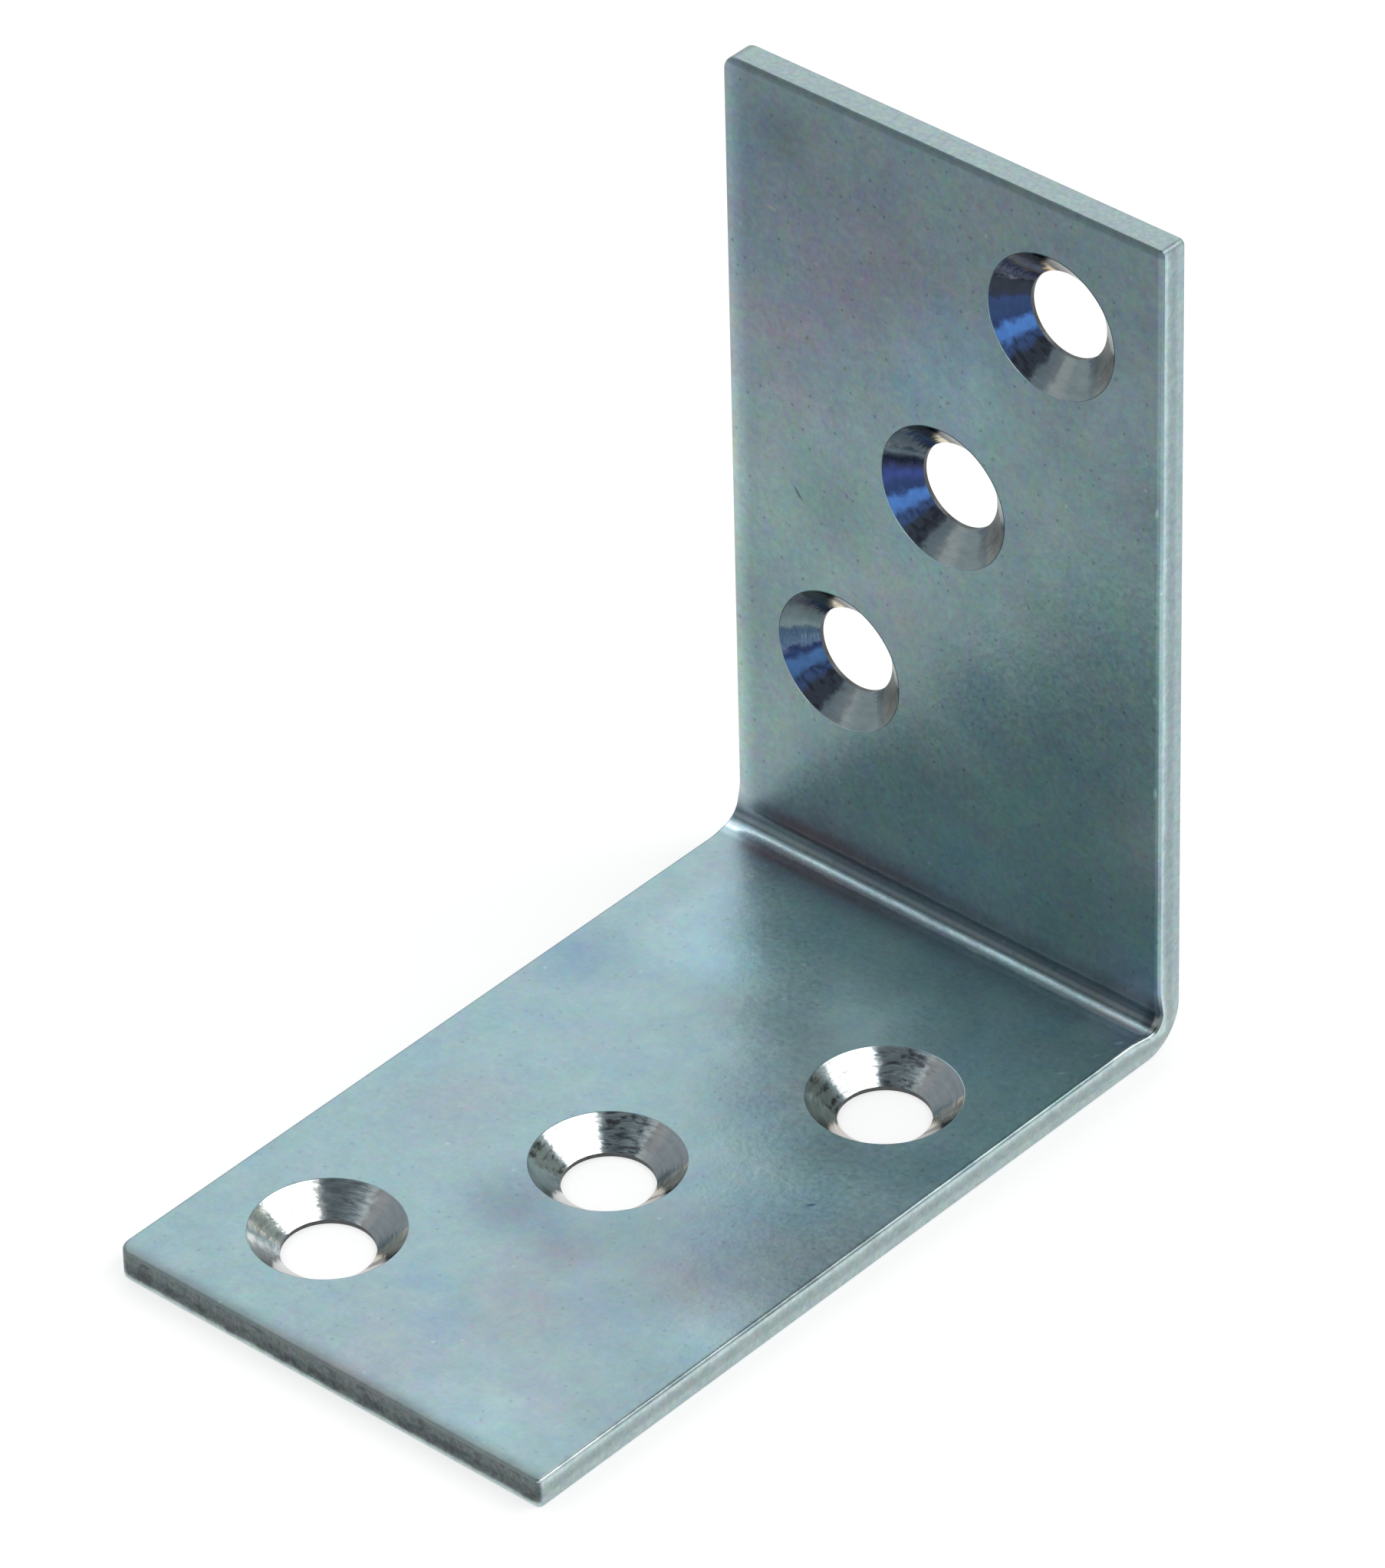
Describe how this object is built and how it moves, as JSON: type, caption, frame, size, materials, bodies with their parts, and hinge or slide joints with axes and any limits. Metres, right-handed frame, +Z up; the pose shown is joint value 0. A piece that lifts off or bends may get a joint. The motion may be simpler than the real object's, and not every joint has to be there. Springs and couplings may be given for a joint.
{
  "type": "angle bracket",
  "caption": "Zinc plated sheet steel angle bracket, bent square, with a slanting row of countersunk screw holes in each leg.",
  "frame": {"origin": "middle of the bracket's footprint, on the underside of the base leg", "axes": "+X along the bend, +Y from the end of the base leg to the upright leg, +Z up the upright leg"},
  "size_m": [0.0356, 0.06, 0.06],
  "materials": {
    "zinc_plated_steel": "bright zinc plating with a faint blue and rose sheen"
  },
  "bodies": {
    "root": {"bracket": "zinc_plated_steel"}
  },
  "joints": []
}
